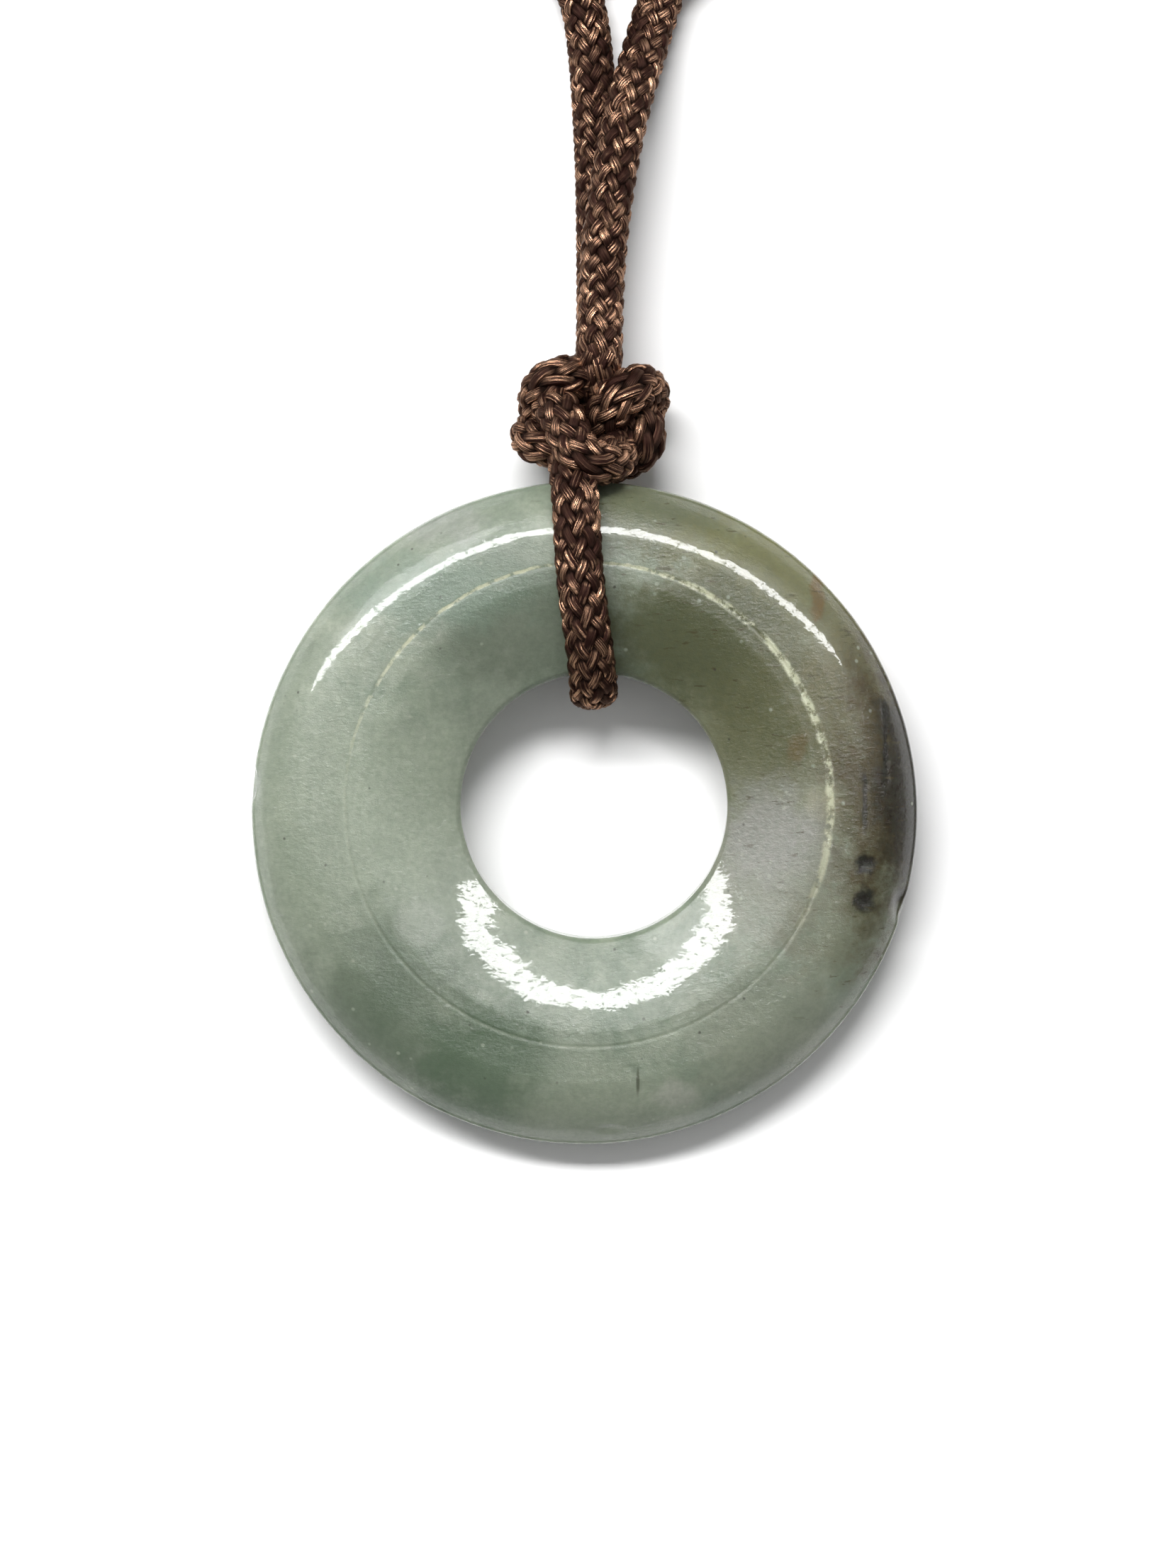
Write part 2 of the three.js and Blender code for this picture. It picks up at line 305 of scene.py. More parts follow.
def unit(vectors: np.ndarray) -> np.ndarray:
    """Gives vectors a length of one."""
    return vectors / np.linalg.norm(vectors, axis=-1, keepdims=True)


def raised(route: tuple[Point, ...], height: float) -> np.ndarray:
    """Turns a route of millimetres into metres and lifts it by a height in metres."""
    return np.array(route) * MM + (0, 0, height)


@dataclass
class Line:
    """A fine line with a frame at every point, for cord to follow.

    Args:
        points: The points, evenly spaced.
        side: The cord's sideways direction at each point.
        up: The cord's upward direction at each point.
        run: The distance from the line's start.
    """

    points: np.ndarray
    side: np.ndarray
    up: np.ndarray
    run: np.ndarray

    STEP = 0.25 * MM
    SMOOTH_SAMPLES = 40

    @classmethod
    def through(cls, controls: np.ndarray) -> "Line":
        """Lays a uniform cubic B-spline along control points.

        Args:
            controls: The control points.

        Returns:
            The line.
        """
        first, last = 2 * controls[0] - controls[1], 2 * controls[-1] - controls[-2]
        held = np.vstack([first, controls, last])
        spans = len(held) - 3
        place = np.linspace(0, spans, spans * cls.SMOOTH_SAMPLES + 1)
        span = np.minimum(place.astype(int), spans - 1)
        u = (place - span)[:, None]
        weights = ((1 - u) ** 3, 3 * u**3 - 6 * u**2 + 4, -3 * u**3 + 3 * u**2 + 3 * u + 1, u**3)
        dense = sum(weight * held[span + k] for k, weight in enumerate(weights)) / 6
        travelled = np.concatenate([[0], np.cumsum(np.linalg.norm(np.diff(dense, axis=0), axis=1))])
        run = np.linspace(0, travelled[-1], max(2, round(travelled[-1] / cls.STEP)) + 1)
        points = np.stack([np.interp(run, travelled, dense[:, k]) for k in range(3)], axis=1)
        return cls(points, *cls.frames(points), run)

    @staticmethod
    def frames(points: np.ndarray) -> tuple[np.ndarray, np.ndarray]:
        """Carries a frame along points without twist.

        Args:
            points: The points.

        Returns:
            The sideways and the upward direction at each point.
        """
        along = unit(np.gradient(points, axis=0))
        up = np.zeros_like(points)
        held = np.array([0.0, 0.0, 1.0])
        for i, forward in enumerate(along):
            held = unit(held - forward * (held @ forward))
            up[i] = held
        return np.cross(along, up), up

    def part(self, start: int, stop: int, stride: int = 1) -> "Line":
        """Takes a stretch of the line, which keeps its distances and frames."""
        taken = slice(start, stop, stride)
        return Line(self.points[taken], self.side[taken], self.up[taken], self.run[taken])

    def host(self, widen: Amount, flatten: Amount) -> Mesh:
        """Makes the chain of edges that a braid starts from.

        Args:
            widen: How much wider than round the cord is.
            flatten: How much lower than round the cord is.

        Returns:
            A mesh that carries the frames, the distances and the shape of the section.
        """
        mesh = bpy.data.meshes.new("line")
        count = len(self.points)
        mesh.from_pydata(self.points.tolist(), [(i, i + 1) for i in range(count - 1)], [])
        for name, values in (("side", self.side), ("up", self.up)):
            mesh.attributes.new(name, "FLOAT_VECTOR", "POINT").data.foreach_set("vector", values.ravel())
        for name, values in (("run", self.run), ("widen", widen), ("flatten", flatten)):
            spread = np.ones(count) * values
            mesh.attributes.new(name, "FLOAT", "POINT").data.foreach_set("value", spread)
        return mesh


@dataclass
class Braid:
    """A tight round braid, in which each yarn passes over two others and then under two.

    Args:
        material: The yarn's finish.
        yarns_each_way: How many yarns wind each way, a multiple of four.
        cord_radius: The radius of the finished cord.
        lay: How far a yarn turns round the cord, in radians a metre.
        yarn_width: The width of a yarn.
        yarn_thickness: The thickness of a yarn.
        swing: How far a yarn rises and dips as it passes over and under.
        yarn_sides: The number of sides of a yarn's section.
        core_radius: The radius of the core that the yarns hide, which is coloured in the darkest painted
            shade of the gaps.
    """

    material: bpy.types.Material
    yarns_each_way: int = 12
    cord_radius: float = 1.5 * MM
    lay: float = 459.0
    yarn_width: float = 0.74 * MM
    yarn_thickness: float = 0.42 * MM
    swing: float = 0.23 * MM
    yarn_sides: int = 6
    core_radius: float = 1.0 * MM

    CORE_SIDES = 6
    INPUTS = {
        "Yarns Each Way": "Int", "Yarn Sides": "Int", "Lay": "Float", "Mean Radius": "Float",
        "Swing": "Float", "Yarn Width": "Float", "Yarn Thickness": "Float", "Core Radius": "Float",
        "Material": "Material",
    }

    @property
    def mean_radius(self) -> float:
        """The radius that the middle of a yarn keeps on average."""
        return self.cord_radius - self.yarn_thickness / 2 - self.swing

    def tree(self) -> bpy.types.NodeTree:
        """Builds the Geometry Nodes tree of the braid.

        Returns:
            The tree, which is shared by every braid.
        """
        name = "braid"
        if name in bpy.data.node_groups:
            return bpy.data.node_groups[name]
        nodes, given, result = new_geometry_tree(name, self.INPUTS)
        value = given.outputs
        line = nodes.out("GeometryNodeMeshToCurve", {"Mesh": value["Geometry"]})
        yarns, sides = value["Yarns Each Way"], value["Yarn Sides"]
        twice = {"Geometry": line, "Amount": nodes.times(yarns, 2)}
        copies = nodes.add("GeometryNodeDuplicateElements", twice, domain="SPLINE")
        number = copies.outputs["Duplicate Index"]
        forward = nodes.maths("LESS_THAN", number, nodes.minus(yarns, 0.5))
        way = nodes.maths("MULTIPLY_ADD", forward, Way.FORWARD.value - Way.BACK.value, Way.BACK.value)
        turn = nodes.times(nodes.carried("run"), value["Lay"])
        start = nodes.maths("DIVIDE", nodes.times(number, math.tau), yarns)
        angle = nodes.maths("MULTIPLY_ADD", way, turn, start)
        wave = nodes.maths("MULTIPLY_ADD", way, nodes.times(turn, yarns, 0.5), nodes.times(number, math.pi))
        height = nodes.times(way, nodes.maths("COSINE", nodes.minus(wave, math.pi / 4)))
        radius = nodes.maths("MULTIPLY_ADD", height, value["Swing"], value["Mean Radius"])
        side, up = (nodes.carried(axis, "FLOAT_VECTOR") for axis in ("side", "up"))
        widen, flatten = nodes.carried("widen"), nodes.carried("flatten")
        across, upward = nodes.maths("COSINE", angle), nodes.maths("SINE", angle)
        reach = nodes.vectors("ADD", nodes.scaled(side, nodes.times(across, widen, radius)),
                              nodes.scaled(up, nodes.times(upward, flatten, radius)))
        outward = nodes.vectors("ADD", nodes.scaled(side, nodes.times(across, flatten)),
                                nodes.scaled(up, nodes.times(upward, widen)))
        strands = nodes.stored(copies.outputs["Geometry"], "height", height)
        strands = nodes.stored(strands, "yarn", number)
        strands = nodes.stored(strands, "outward", nodes.vectors("NORMALIZE", outward), "FLOAT_VECTOR")
        moved = nodes.out("GeometryNodeSetPosition", {"Geometry": strands, "Offset": reach})
        turned = nodes.add("GeometryNodeSetCurveNormal", {"Curve": moved}, mode="FREE")
        nodes.feed(turned.inputs["Normal"], nodes.carried("outward", "FLOAT_VECTOR"))
        tangent = nodes.out("GeometryNodeInputTangent")
        laid = nodes.stored(turned.outputs[0], "fibre", tangent, "FLOAT_VECTOR")
        flat_top = nodes.combined(0.0, 0.0, nodes.maths("DIVIDE", math.pi, sides))
        ring = nodes.circle(sides, 0.5)
        ring = nodes.out("GeometryNodeTransform", {"Geometry": ring, "Rotation": flat_top})
        split = nodes.add("ShaderNodeSeparateXYZ", {0: nodes.out("GeometryNodeInputPosition")})
        section = nodes.stored(ring, "across", split.outputs["Y"])
        shape = nodes.combined(value["Yarn Thickness"], value["Yarn Width"], 1.0)
        section = nodes.out("GeometryNodeTransform", {"Geometry": section, "Scale": shape})
        yarn = nodes.swept(laid, section)
        pipe = nodes.swept(line, nodes.circle(self.CORE_SIDES, value["Core Radius"]))
        joined = nodes.add("GeometryNodeJoinGeometry")
        nodes.feed(joined.inputs[0], yarn)
        # The core takes the lowest height, so the yarn material paints it in the darkest painted shade of
        # the gaps.
        nodes.feed(joined.inputs[0], nodes.stored(pipe, "height", -1.0))
        end_tree(nodes, joined.outputs[0], value["Material"], result)
        return nodes.tree

    def mesh(self, line: Line, widen: Amount = 1.0, flatten: Amount = 1.0,
             yarn_sides: int | None = None) -> Mesh:
        """Braids one stretch of cord.

        Args:
            line: The cord's centre line.
            widen: How much wider than round the cord is.
            flatten: How much lower than round the cord is.
            yarn_sides: The sides of a yarn's section, where they differ from the braid's own.

        Returns:
            The mesh of the stretch.
        """
        values = {
            "Yarns Each Way": self.yarns_each_way, "Yarn Sides": yarn_sides or self.yarn_sides,
            "Lay": self.lay, "Mean Radius": self.mean_radius, "Swing": self.swing,
            "Yarn Width": self.yarn_width, "Yarn Thickness": self.yarn_thickness,
            "Core Radius": self.core_radius, "Material": self.material,
        }
        return grown(line.host(widen, flatten), self.tree(), values)


@dataclass(frozen=True)
class YarnFinish:
    """Satin yarn, dark red-brown, with a coppery gleam where it faces the light, painted glints in random
    streaks and painted shade in the gaps between yarns.

    Args:
        dark: The yarn's own dark colour, which the painted shade in the gaps darkens further.
        painted_glint: The colour of the glints painted onto the filaments in random streaks, which also
            tints their metal-like reflection.
        gleam: The tint of its reflections.
        roughness: How soft its gleam is.
        filaments: How many filaments lie across a yarn.
    """

    dark: Colour = (0.016, 0.0046, 0.0036)
    painted_glint: Colour = (0.66, 0.38, 0.24)
    gleam: Colour = (1.0, 0.76, 0.62)
    roughness: float = 0.18
    filaments: float = 9.0

    STREAK_LENGTH = 1.6 * MM
    YARN_SPREAD = 7.31
    # How dark the painted shade is where yarns dip under their neighbours and on the core, as a share of the
    # dark colour.
    GAP_SHADE_SHARE = 0.25

    def material(self) -> bpy.types.Material:
        """Builds the yarn's material.

        Returns:
            The material, which reads the values that the braid carries.
        """
        material, nodes, shader = new_material("satin_yarn")
        run = nodes.maths("DIVIDE", nodes.named("run"), self.STREAK_LENGTH)
        across = nodes.times(nodes.named("across"), self.filaments)
        place = nodes.combined(run, across, nodes.times(nodes.named("yarn"), self.YARN_SPREAD))
        streaks = nodes.noise(place, 1.0, detail=4, roughness=0.6)
        leaf = nodes.noise(nodes.vectors("MULTIPLY", place, (1.3, 0.0, 1.0)), 1.0, detail=1)
        height = nodes.ranged(nodes.named("height"), -0.1, 0.85)
        # Painted glints: random streaks on the leaves take the light coppery colour, standing in for light
        # catching the filaments.
        lit = nodes.times(nodes.ranged(streaks, 0.46, 0.62), nodes.ranged(leaf, 0.41, 0.57, 0.05, 1))
        colour = nodes.mixed(lit, self.dark, self.painted_glint)
        # Painted shade: the colour darkens as a yarn dips under its neighbours, and on the core, where shade
        # falls between the yarns.
        painted_gap_shade = tuple(self.GAP_SHADE_SHARE * c for c in self.dark)
        dull = nodes.ranged(lit, 0.0, 0.6, self.roughness + 0.25, self.roughness)
        nodes.fill(shader, {
            "Base Color": nodes.mixed(nodes.minus(1.0, height), colour, painted_gap_shade),
            "Roughness": nodes.maths("MAXIMUM", dull, nodes.ranged(height, 0.2, 0.8, 0.9, 0.2)),
            "Normal": nodes.bumped(streaks, 0.9, 0.12 * MM), "Tangent": nodes.named("fibre", "Vector"),
            "Metallic": 0.75, "Anisotropic": 0.72, "Specular IOR Level": 0.4,
            "Specular Tint": opaque(self.gleam),
        })
        return material


@dataclass
class Necklace:
    """The long cord from the knot and back to it, wound in a coil beyond the knot.

    Args:
        braid: The braid of the cord.
        coil_centre: The coil's middle.
        coil_layers: The radius and height of the cord's middle in each turn of the coil.
        coil_start: The angle at which the cord joins the coil, in degrees.
        coil_sweep: How far it winds clockwise, in degrees.
        coil_step: The angle between the coil's control points, in degrees.
        crossing: The share of a turn in which the cord moves to the next layer.
        hidden_points: How many points of the knot's routes the cord follows into the knot.
        fine_length: The stretch by the knot, at each end, that is braided finely.
        coarse_stride: How many of the line's steps lie between points on the rest.
    """

    braid: Braid
    coil_centre: Pair = (0.0024, 0.0755)
    coil_layers: tuple[Pair, ...] = (
        (0.0195, 0.0015), (0.0165, 0.0015), (0.0135, 0.0015), (0.0135, 0.0045), (0.0165, 0.0045),
        (0.0195, 0.0045),
    )
    coil_start: float = 245.0
    coil_sweep: float = 2110.0
    coil_step: float = 15.0
    crossing: float = 0.2
    hidden_points: int = 2
    fine_length: float = 0.0265
    coarse_stride: int = 3
    line: Line = field(init=False)

    COARSE_SIDES = 3
    NODES = ("cord_strand_left", "cord_strand_right", "cord_coil")

    def coil_point(self, swept: float) -> Point:
        """Gives the coil's control point after a swept angle.

        Args:
            swept: The angle wound since the cord joined the coil, in degrees.

        Returns:
            The point, pushed outwards by what a B-spline cuts off its corners.
        """
        turns, share = divmod(swept / 360, 1)
        here = self.coil_layers[int(turns)]
        after = self.coil_layers[min(int(turns) + 1, len(self.coil_layers) - 1)]
        t = min(max((share - 1 + self.crossing) / self.crossing, 0), 1)
        eased = t * t * (3 - 2 * t)
        radius, height = (a + (b - a) * eased for a, b in zip(here, after))
        radius *= 3 / (2 + math.cos(math.radians(self.coil_step)))
        angle = math.radians(self.coil_start - swept)
        x, y = self.coil_centre
        return x + radius * math.cos(angle), y + radius * math.sin(angle), height

    def controls(self) -> np.ndarray:
        """Lists the whole cord's control points, from the knot's left and back to its right.

        Returns:
            The points of the cord's middle.
        """
        swept = np.linspace(0, self.coil_sweep, round(self.coil_sweep / self.coil_step) + 1)
        coil = np.array([self.coil_point(angle) for angle in swept])
        left = KNOT_FROM_LEFT_ROUTE[self.hidden_points::-1] + LEFT_STRAND_ROUTE
        right = KNOT_FROM_RIGHT_ROUTE[self.hidden_points::-1] + RIGHT_STRAND_ROUTE
        radius = self.braid.cord_radius
        return np.vstack([raised(left, radius), coil, raised(right, radius)[::-1]])

    def build(self) -> Piece:
        """Braids the cord, finely where it is near the knot.

        Returns:
            The cord's object.
        """
        self.line = Line.through(self.controls())
        last = len(self.line.points)
        near = round(self.fine_length / Line.STEP)
        far = near + (last - 2 * near) // self.coarse_stride * self.coarse_stride
        stretches = (
            (self.line.part(0, near + 1), self.braid.yarn_sides),
            (self.line.part(near, far + 1, self.coarse_stride), self.COARSE_SIDES),
            (self.line.part(far, last), self.braid.yarn_sides),
        )
        meshes = [self.braid.mesh(line, yarn_sides=sides) for line, sides in stretches]
        return object_from("braided_necklace", meshes)


@dataclass
class ButtonKnot:
    """The knot of two cords above the ring.

    Args:
        braid: The braid of the cord.
    """

    braid: Braid

    NODES = ("cord_knot",)

    def build(self) -> Piece:
        """Braids the knot's two cords along their routes."""
        routes = (KNOT_FROM_LEFT_ROUTE, KNOT_FROM_RIGHT_ROUTE)
        lines = [Line.through(raised(route, self.braid.cord_radius)) for route in routes]
        return object_from("braided_knot", [self.braid.mesh(line) for line in lines])


@dataclass
class Bail:
    """The short flattened loop that holds the ring, from the knot through the hole and back.

    Args:
        braid: The braid of the cord, which is longer laid here.
        thickness: The thickness of the flattened cord.
        width: The width of the flattened cord.
        fold_thickness: The thickness where it folds round the ring's edge.
        fold_y: How far from the ring's middle the fold is.
        fold_reach: How far on each side the fold's thinness reaches.
    """

    braid: Braid
    thickness: float = 2.2 * MM
    width: float = 3.1 * MM
    fold_thickness: float = 1.8 * MM
    fold_y: float = 7.5 * MM
    fold_reach: float = 5 * MM

    NODES = ("cord_bail",)

    def build(self) -> Piece:
        """Braids the bail along its route.

        Returns:
            The bail's object.
        """
        line = Line.through(raised(BAIL_ROUTE, self.thickness / 2))
        far = np.clip((line.points[:, 1] - self.fold_y) / self.fold_reach, 0, 1)
        thickness = self.fold_thickness + (self.thickness - self.fold_thickness) * far
        round_size = 2 * self.braid.cord_radius
        mesh = self.braid.mesh(line, self.width / round_size, thickness / round_size)
        return object_from("braided_bail", [mesh])


@dataclass(frozen=True)
class Mark:
    """A pit, scratch or chip in the polish, in millimetres.

    Args:
        start: One end, from the ring's middle.
        end: The other end. A pit ends where it starts.
        width: How wide it is.
        depth: How deep it is.
    """

    start: Pair
    end: Pair
    width: float
    depth: float

    def dip(self, places: np.ndarray) -> np.ndarray:
        """Gives how deep the mark is, in metres, at places on the ring.

        Args:
            places: The x and y of each place, in metres.

        Returns:
            The depth at each place.
        """
        start, end = np.array(self.start) * MM, np.array(self.end) * MM
        run = end - start
        length = max(float(run @ run), 1e-12)
        share = np.clip((places - start) @ run / length, 0, 1)
        away = np.linalg.norm(places - start - share[:, None] * run, axis=1)
        return self.depth * MM * np.exp(-((away / (self.width * MM)) ** 2))


@dataclass(frozen=True)
class Stain:
    """A patch of another colour in the stone.

    Args:
        centre: Its middle, from the ring's middle, in millimetres.
        size: Half its width and half its length, in millimetres.
        colour: Its colour.
        strength: How much of its colour shows.
        raggedness: How far the noise moves its edge.
    """

    centre: Pair
    size: Pair
    colour: Colour
    strength: float
    raggedness: float = 0.9


@dataclass(frozen=True)
class JadeFinish:
    """Polished, translucent jade, grey-green and mottled, with brown skin on one edge.

    Args:
        pale: The colour of the palest cloud.
        middle: The main colour.
        green: The greenest colour.
        line: The colour of the pale line along the crease, partly a painted highlight where the crease faces
            the light.
        roughness: The roughness of the polish.
        speck: The colour of the dark specks.
        crack: The colour of the fine cracks.
        crease: The crease's middle, its radius and the half width of its line.
        highlight_way: The direction the light comes from, towards which the line is clearest, as a painted
            highlight on the crease.
        wide_way: The direction towards which the line is widest.
        cracked_way: The direction towards which the stone has fine dark cracks.
        stains: The patches of other colours.
    """

    pale: Colour = (0.330, 0.366, 0.285)
    middle: Colour = (0.232, 0.268, 0.205)
    green: Colour = (0.125, 0.170, 0.118)
    line: Colour = (0.52, 0.53, 0.37)
    speck: Colour = (0.04, 0.04, 0.03)
    crack: Colour = (0.05, 0.04, 0.015)
    roughness: float = 0.08
    crease: tuple[Pair, float, float] = ((0.2 * MM, 0.56 * MM), 15.15 * MM, 0.15 * MM)
    highlight_way: Point = (0.35, 0.94, 0.0)
    wide_way: Point = (0.97, 0.24, 0.0)
    cracked_way: Point = (0.90, 0.44, 0.0)
    stains: tuple[Stain, ...] = (
        Stain((-17, -0.5), (5, 11), (0.280, 0.320, 0.242), 0.6),
        Stain((-11.5, 1), (4.5, 8.5), (0.300, 0.345, 0.262), 0.7),
        Stain((-4, 12), (6, 3.6), (0.140, 0.165, 0.120), 0.75),
        Stain((-9.2, 13.9), (6, 2.4), (0.165, 0.225, 0.168), 0.7),
        Stain((-12, -12.5), (6, 6.5), (0.112, 0.143, 0.098), 0.75),
        Stain((-5.8, -16), (4.6, 5), (0.088, 0.128, 0.080), 0.85),
        Stain((1.6, -19), (6, 4.2), (0.240, 0.272, 0.205), 0.75),
        Stain((12, -13.5), (6, 5), (0.212, 0.228, 0.172), 0.6),
        Stain((-9.2, 18.1), (3, 1.4), (0.320, 0.330, 0.300), 0.5),
        Stain((13, 7), (10.5, 13.5), (0.150, 0.150, 0.082), 0.85, 0.4),
        Stain((12, -3), (4, 6), (0.225, 0.232, 0.186), 0.75),
        Stain((16.6, -6.9), (4, 4), (0.145, 0.148, 0.092), 0.6),
        Stain((4.7, 18.8), (5.8, 2.8), (0.105, 0.110, 0.058), 0.85, 0.6),
        Stain((10.8, 15), (6, 4.5), (0.152, 0.150, 0.062), 0.85, 0.6),
        Stain((7.4, 11.2), (6.6, 4.6), (0.076, 0.082, 0.038), 0.9, 0.6),
        Stain((12.4, 6.6), (4.2, 5), (0.098, 0.099, 0.045), 0.88, 0.6),
        Stain((17, 8.5), (3.6, 6), (0.125, 0.116, 0.050), 0.8),
        Stain((14.9, 0.8), (1.7, 1.1), (0.345, 0.335, 0.225), 0.5, 1.2),
        Stain((11.8, -1.2), (3.4, 3), (0.275, 0.272, 0.252), 0.6),
        Stain((14.5, 14.1), (0.4, 1.5), (0.13, 0.066, 0.014), 0.65, 1.8),
        Stain((13.3, 4.2), (0.6, 1), (0.11, 0.080, 0.030), 0.7, 1.8),
        Stain((19, 2.2), (3.8, 10), (0.052, 0.036, 0.008), 0.95, 0.9),
        Stain((20.5, 2.2), (2.6, 8.6), (0.014, 0.008, 0.002), 0.97, 0.9),
        Stain((18.8, 4.5), (0.22, 2.8), (0.008, 0.005, 0.002), 0.9, 1.4),
        Stain((17.5, 0.6), (0.16, 1.8), (0.010, 0.006, 0.003), 0.85, 1.4),
        # Near-black spots laid over the two pits near the right edge.
        Stain((17.6, -3), (0.7, 0.6), (0.006, 0.004, 0.002), 0.95, 1.8),
        Stain((17.6, -5.3), (0.6, 0.7), (0.006, 0.004, 0.002), 0.95, 1.8),
        Stain((3.35, -16.6), (0.12, 0.9), (0.05, 0.05, 0.03), 0.7, 0.6),
        Stain((5.7, -17.6), (1.4, 0.9), (0.34, 0.35, 0.30), 0.6),
        Stain((-10.2, -6.7), (1.4, 1.6), (0.34, 0.37, 0.31), 0.5),
    )

    SPECK_SIZE = 0.9 * MM
    STAIN_OUTSIDE, STAIN_INSIDE = 1.35, 0.45
    LINE_WOBBLE = 0.175 * MM
    GRAIN_SHARE = 0.45

    def stained(self, nodes: Nodes, colour: object, place: object, ragged: object) -> object:
        """Lays the stains over the stone's colour.

        Args:
            nodes: The node adder.
            colour: The colour so far.
            place: Where on the ring it is.
            ragged: Noise that makes their edges uneven.

        Returns:
            The stained colour.
        """
        for stain in self.stains:
            away = nodes.vectors("SUBTRACT", place, (*(c * MM for c in stain.centre), 0.0))
            shape = (*(1 / (size * MM) for size in stain.size), 0.0)
            reach = nodes.vectors("LENGTH", nodes.vectors("MULTIPLY", away, shape))
            edge = nodes.maths("MULTIPLY_ADD", nodes.minus(ragged, 0.5), 2 * stain.raggedness, reach)
            share = nodes.ranged(edge, self.STAIN_OUTSIDE, self.STAIN_INSIDE, 0, stain.strength)
            colour = nodes.mixed(share, colour, stain.colour)
        return colour

    def line_and_highlight_share(self, nodes: Nodes, place: object, fine: object) -> Socket:
        """Draws the pale, broken line along the crown's crease, partly a painted highlight that is clearest
        towards the light.

        Args:
            nodes: The node adder.
            place: Where on the ring it is.
            fine: The same place in millimetres.

        Returns:
            How much of the line's colour shows.
        """
        centre, radius, half_width = self.crease
        flat = nodes.vectors("MULTIPLY", nodes.vectors("SUBTRACT", place, (*centre, 0.0)), (1.0, 1.0, 0.0))
        ragged = nodes.noise(fine, 0.9, detail=5, roughness=0.7)
        wobble = nodes.maths("MULTIPLY_ADD", ragged, 2 * self.LINE_WOBBLE, -self.LINE_WOBBLE)
        off = nodes.minus(nodes.maths("ADD", nodes.vectors("LENGTH", flat), wobble), radius)
        wide, clear = (nodes.vectors("DOT_PRODUCT", place, way) for way in (self.wide_way, self.highlight_way))
        reach = nodes.times(nodes.ranged(wide, 6 * MM, 14 * MM, 1.0, 2.4), half_width)
        thin = nodes.ranged(nodes.maths("ABSOLUTE", off), reach, nodes.times(reach, 0.3))
        broken = nodes.ranged(nodes.noise(fine, 0.8, detail=6, roughness=0.75), 0.42, 0.56, 0.04, 0.9)
        # Painted highlight: the line fades away from the side the light comes from.
        return nodes.times(thin, broken, nodes.ranged(clear, -5 * MM, 8 * MM, 0.07, 1))

    def material(self) -> bpy.types.Material:
        """Builds the jade's material.

        Returns:
            The material, which reads object coordinates.
        """
        material, nodes, shader = new_material("polished_jade")
        place = nodes.add("ShaderNodeTexCoord").outputs["Object"]
        fine = nodes.scaled(place, 1 / MM)
        clouds = nodes.noise(fine, 0.13, detail=5, roughness=0.55, distortion=0.8)
        wisps = nodes.noise(fine, 0.30, detail=6, roughness=0.60, distortion=0.4)
        grain = nodes.noise(fine, 2.6, detail=5, roughness=0.65)
        colour = nodes.mixed(nodes.ranged(clouds, 0.40, 0.72, 0, 0.8), self.middle, self.green)
        colour = nodes.mixed(nodes.ranged(wisps, 0.40, 0.80, 0, 0.75), colour, self.pale)
        colour = self.stained(nodes, colour, place, nodes.noise(fine, 0.5, detail=6, roughness=0.65))
        dark_grain = tuple(self.GRAIN_SHARE * c for c in self.green)
        colour = nodes.mixed(nodes.ranged(grain, 0.3, 0.72, 0.0, 0.22), colour, dark_grain)
        cells = nodes.add("ShaderNodeTexVoronoi", {"Vector": place, "Scale": 1 / self.SPECK_SIZE})
        away = cells.outputs["Distance"]
        chance = nodes.out("ShaderNodeSeparateColor", {0: cells.outputs["Color"]})
        pale_speck = nodes.times(nodes.ranged(away, 0.20, 0.07), nodes.ranged(chance, 0.80, 0.86, 0, 0.55))
        dark_speck = nodes.times(nodes.ranged(away, 0.16, 0.05), nodes.ranged(chance, 0.16, 0.10, 0, 0.8))
        colour = nodes.mixed(dark_speck, nodes.mixed(pale_speck, colour, self.pale), self.speck)
        cracks = nodes.noise(nodes.vectors("MULTIPLY", fine, (0.7, 2.9, 1.0)), 1.0, detail=3, roughness=0.6)
        cracked = nodes.ranged(nodes.vectors("DOT_PRODUCT", place, self.cracked_way), 3 * MM, 13 * MM)
        share = nodes.times(nodes.ranged(cracks, 0.62, 0.70, 0, 0.7), cracked)
        colour = nodes.mixed(share, colour, self.crack)
        colour = nodes.mixed(self.line_and_highlight_share(nodes, place, fine), colour, self.line)
        polish = nodes.noise(fine, 1.1, detail=6, roughness=0.7)
        waves = nodes.bumped(nodes.noise(fine, 0.45, detail=3, roughness=0.55), 0.6, 0.10 * MM)
        dashes = nodes.noise(nodes.vectors("MULTIPLY", fine, (1.0, 1.7, 1.0)), 2.0, detail=6, roughness=0.75)
        ripples = nodes.noise(fine, 1.9, detail=2)
        nicks = nodes.maths("MULTIPLY_ADD", nodes.ranged(dashes, 0.57, 0.70), 0.5, ripples)
        nodes.fill(shader, {
            "Base Color": colour,
            "Roughness": nodes.ranged(polish, 0.3, 0.75, self.roughness - 0.02, self.roughness + 0.06),
            "Normal": nodes.bumped(dashes, 0.65, 0.085 * MM, waves),
            "Coat Normal": nodes.bumped(nicks, 1.0, 0.012 * MM), "Coat Weight": 0.6, "Coat Roughness": 0.04,
            "IOR": 1.66, "Specular IOR Level": 0.28, "Subsurface Weight": 0.45,
            "Subsurface Radius": (1.0, 1.25, 0.95), "Subsurface Scale": 1.4 * MM,
        })
        return material


